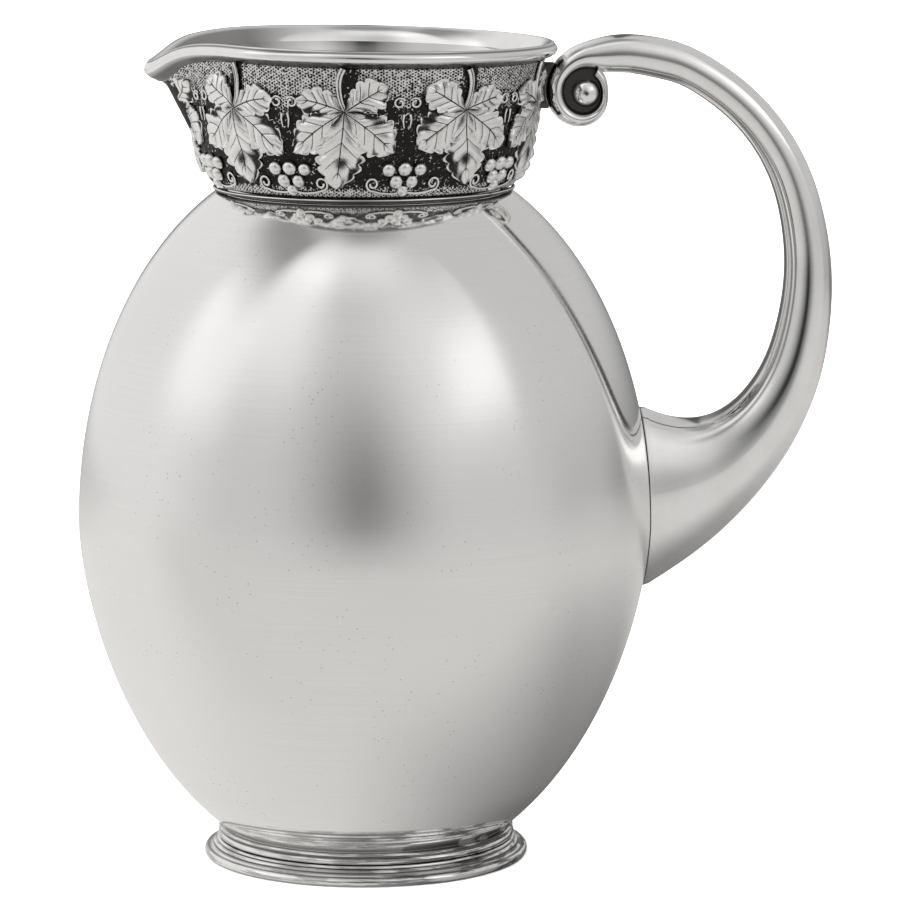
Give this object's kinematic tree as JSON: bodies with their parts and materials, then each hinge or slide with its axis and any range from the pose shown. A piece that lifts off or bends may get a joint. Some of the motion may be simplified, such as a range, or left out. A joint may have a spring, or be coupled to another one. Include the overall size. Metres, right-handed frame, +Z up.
{
  "type": "water pitcher",
  "caption": "Egg-shaped silver water pitcher with a stepped foot, a chased vine-leaf collar, a pouring lip and a curved handle ending in a scroll.",
  "frame": {"origin": "on the plane the foot stands on, at the middle of the bounding box; the pitcher's own axis stands 24.7 mm towards -X from it", "axes": "+Z up along the pitcher's axis, +X towards the handle, -X towards the spout, +Y completes the right-handed frame"},
  "size_m": [0.2023, 0.1528, 0.2203],
  "materials": {
    "satin_silver": "satin silver with fine spinning lines, small pits and a slight bloom",
    "polished_silver": "bright polished silver with faint swirl marks",
    "chased_silver": "bright chased silver with dark oxide left in the veins",
    "oxidised_silver": "punched ground darkened with oxide, bright on its ridges"
  },
  "bodies": {
    "root": {"body_shell": "satin_silver", "foot_band": "polished_silver", "foot_base_ring": "polished_silver", "collar_wire": "polished_silver", "collar_band": "oxidised_silver", "neck_liner": "polished_silver", "rim_with_spout": "polished_silver", "handle": "polished_silver", "handle_scroll": "polished_silver", "scroll_eye": "polished_silver", "scroll_pad": "polished_silver", "leaf_1": "chased_silver", "leaf_2": "chased_silver", "leaf_3": "chased_silver", "leaf_4": "chased_silver", "leaf_5": "chased_silver", "leaf_6": "chased_silver", "leaf_7": "chased_silver", "leaf_8": "chased_silver", "leaf_9": "chased_silver", "grape_bunch_1": "chased_silver", "grape_bunch_2": "chased_silver", "grape_bunch_3": "chased_silver", "grape_bunch_4": "chased_silver", "grape_bunch_5": "chased_silver", "grape_bunch_6": "chased_silver", "grape_bunch_7": "chased_silver", "grape_bunch_8": "chased_silver", "grape_bunch_9": "chased_silver", "tendril_1": "chased_silver", "tendril_2": "chased_silver", "tendril_3": "chased_silver", "tendril_4": "chased_silver", "tendril_6": "chased_silver", "tendril_7": "chased_silver", "tendril_8": "chased_silver", "tendril_9": "chased_silver"}
  },
  "joints": []
}
